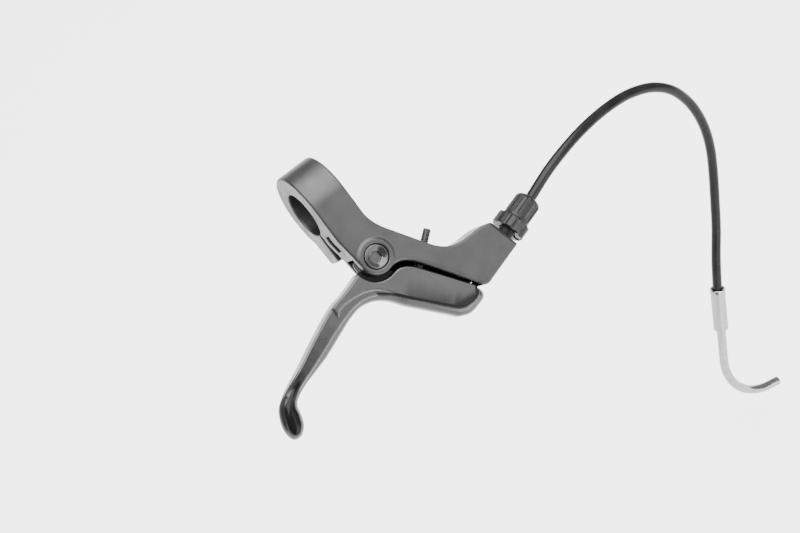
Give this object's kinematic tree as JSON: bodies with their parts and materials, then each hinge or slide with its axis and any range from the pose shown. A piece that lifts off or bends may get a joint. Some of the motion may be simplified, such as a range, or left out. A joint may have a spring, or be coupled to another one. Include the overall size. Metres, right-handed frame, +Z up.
{
  "type": "bicycle brake lever",
  "caption": "Right-hand linear-pull brake lever with bar clamp, hooked blade, reach screw, barrel adjuster, cable housing and bent guide noodle.",
  "frame": {"origin": "centre of the handlebar bore in the clamp, midway between the clamp's end faces", "axes": "+X along the handlebar, inboard towards the stem; -Y forward; +Z up as mounted. The lever plane leans 42 degrees forward and down."},
  "size_m": [0.2672, 0.1132, 0.2662],
  "materials": {
    "body_resin": "satin black, fine moulded grain",
    "blade_paint": "semi-gloss black paint",
    "black_steel": "glossy black oxide steel",
    "zinc_steel": "bright zinc plate",
    "bush_plastic": "natural nylon",
    "barrel_plastic": "semi-gloss black nylon",
    "wire_steel": "stranded stainless wire",
    "housing_jacket": "semi-gloss black jacket",
    "noodle_steel": "polished stainless tube"
  },
  "bodies": {
    "body": {"lever_body": "body_resin", "clamp_bolt": "black_steel", "clamp_washer": "zinc_steel", "clamp_nut": "zinc_steel", "pivot_bolt": "black_steel", "pivot_nut": "zinc_steel", "pivot_washer_upper": "zinc_steel", "pivot_washer_lower": "zinc_steel"},
    "blade": {"lever_blade": "blade_paint", "pivot_bush_upper": "bush_plastic", "pivot_bush_lower": "bush_plastic"},
    "pulled_wire": {"cable_head": "zinc_steel", "inner_cable": "wire_steel"},
    "reach_screw": {"reach_screw": "black_steel"},
    "cable_run": {"housing_ferrule": "zinc_steel", "cable_housing": "housing_jacket", "noodle": "noodle_steel", "noodle_liner": "bush_plastic"},
    "barrel": {"barrel_adjuster": "barrel_plastic"},
    "lock_ring": {"lock_ring": "barrel_plastic"}
  },
  "joints": [
    {"name": "lever_pivot", "type": "hinge", "parent": "body", "child": "blade", "pos_m": [0.0015, -0.03158, -0.0135], "axis": [0, 0.6691, -0.7431], "range_deg": [0, 30], "stiffness_Nm_per_rad": 0.3, "springref_deg": -20.05},
    {"name": "cable_swing", "type": "hinge", "parent": "blade", "child": "pulled_wire", "pos_m": [0.02285, -0.06028, -0.0388], "axis": [0, 0.6691, -0.7431], "range_deg": [-31.5, 0]},
    {"name": "reach_screw_travel", "type": "slide", "parent": "body", "child": "reach_screw", "axis": [0.7771, 0.4677, 0.4211], "range_m": [0, 0.004]},
    {"name": "barrel_travel", "type": "slide", "parent": "body", "child": "cable_run", "axis": [0.9636, 0.1986, 0.1788], "range_m": [-0.002, 0.006]},
    {"name": "barrel_turn", "type": "hinge", "parent": "cable_run", "child": "barrel", "pos_m": [0.05677, -0.05329, -0.0325], "axis": [0.9636, 0.1986, 0.1788], "range_deg": [-720, 2160]},
    {"name": "lock_ring_turn", "type": "hinge", "parent": "cable_run", "child": "lock_ring", "pos_m": [0.05677, -0.05329, -0.0325], "axis": [0.9636, 0.1986, 0.1788], "range_deg": [0, 720]}
  ],
  "couplings": [
    {"joint": "cable_swing", "follows": "lever_pivot", "ratio": -1.04},
    {"joint": "barrel_turn", "follows": "barrel_travel", "rad_per_m": 6283.2}
  ]
}
